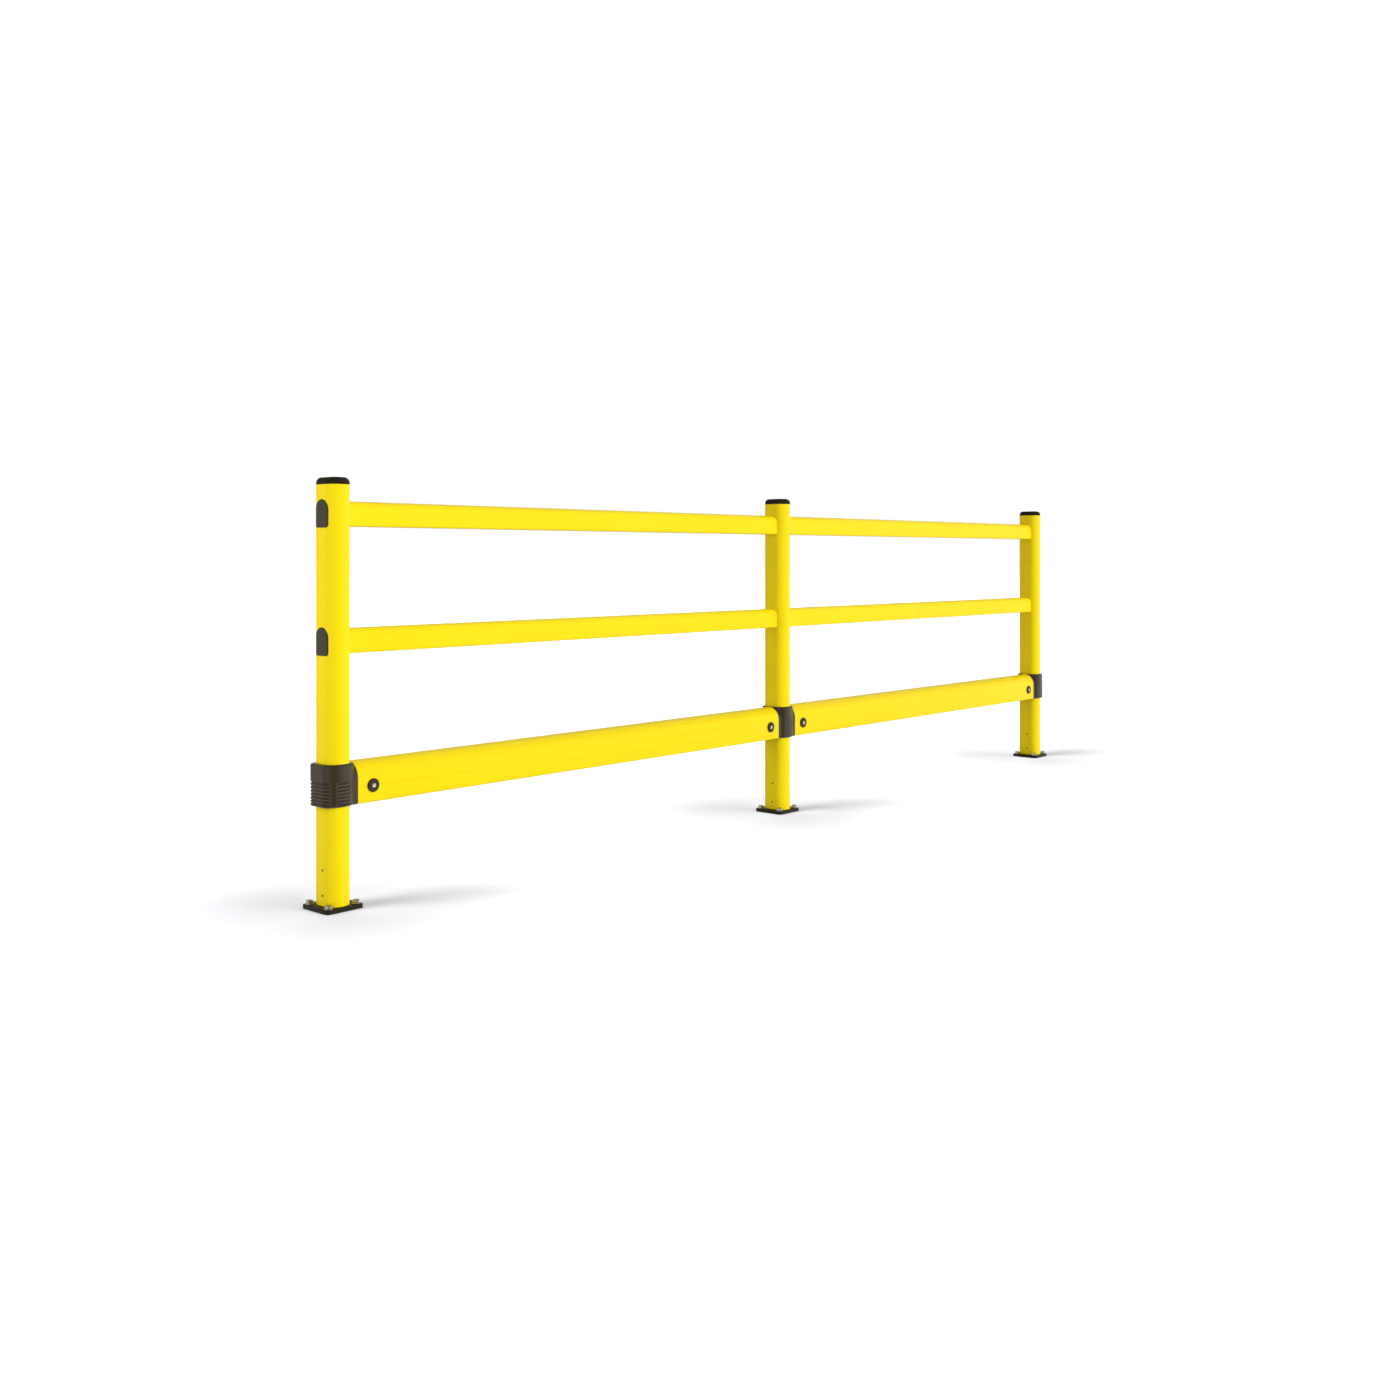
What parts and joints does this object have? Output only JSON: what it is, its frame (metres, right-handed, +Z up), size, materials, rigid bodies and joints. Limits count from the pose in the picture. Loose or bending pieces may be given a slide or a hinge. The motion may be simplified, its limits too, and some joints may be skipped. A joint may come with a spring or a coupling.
{
  "type": "modular flexible safety barrier",
  "caption": "Yellow polymer floor barrier: bolted-down posts joined by arch-section handrails and a low traffic rail held in ribbed collars.",
  "frame": {"origin": "on the floor, at the middle of the underside of the middle post's base plate", "axes": "+X along the rails, +Z up, -Y the side that the rail bolts are put in from"},
  "size_m": [4.12, 0.123, 1.1963],
  "materials": {
    "yellow_polymer": "satin extruded polymer",
    "charcoal_polymer": "satin moulded polymer",
    "cap_polymer": "satin moulded polymer",
    "coated_plate": "dark coated steel",
    "zinc_plated_steel": "zinc plated"
  },
  "bodies": {
    "root": {"left_bay_far_back_cup_washer": "charcoal_polymer", "left_bay_far_front_cup_washer": "charcoal_polymer", "left_bay_far_rail_bolt": "zinc_plated_steel", "left_bay_far_rail_nut": "zinc_plated_steel", "left_bay_middle_handrail": "yellow_polymer", "left_bay_near_back_cup_washer": "charcoal_polymer", "left_bay_near_front_cup_washer": "charcoal_polymer", "left_bay_near_rail_bolt": "zinc_plated_steel", "left_bay_near_rail_nut": "zinc_plated_steel", "left_bay_traffic_rail": "yellow_polymer", "left_bay_upper_handrail": "yellow_polymer", "left_collar": "charcoal_polymer", "left_foot": "coated_plate", "left_middle_handrail_plug": "charcoal_polymer", "left_post": "yellow_polymer", "left_post_cap": "cap_polymer", "left_upper_handrail_plug": "charcoal_polymer", "middle_collar": "charcoal_polymer", "middle_foot": "coated_plate", "middle_post": "yellow_polymer", "middle_post_cap": "cap_polymer", "right_bay_far_back_cup_washer": "charcoal_polymer", "right_bay_far_front_cup_washer": "charcoal_polymer", "right_bay_far_rail_bolt": "zinc_plated_steel", "right_bay_far_rail_nut": "zinc_plated_steel", "right_bay_middle_handrail": "yellow_polymer", "right_bay_near_back_cup_washer": "charcoal_polymer", "right_bay_near_front_cup_washer": "charcoal_polymer", "right_bay_near_rail_bolt": "zinc_plated_steel", "right_bay_near_rail_nut": "zinc_plated_steel", "right_bay_traffic_rail": "yellow_polymer", "right_bay_upper_handrail": "yellow_polymer", "right_collar": "charcoal_polymer", "right_foot": "coated_plate", "right_middle_handrail_plug": "charcoal_polymer", "right_post": "yellow_polymer", "right_post_cap": "cap_polymer", "right_upper_handrail_plug": "charcoal_polymer"}
  },
  "joints": []
}
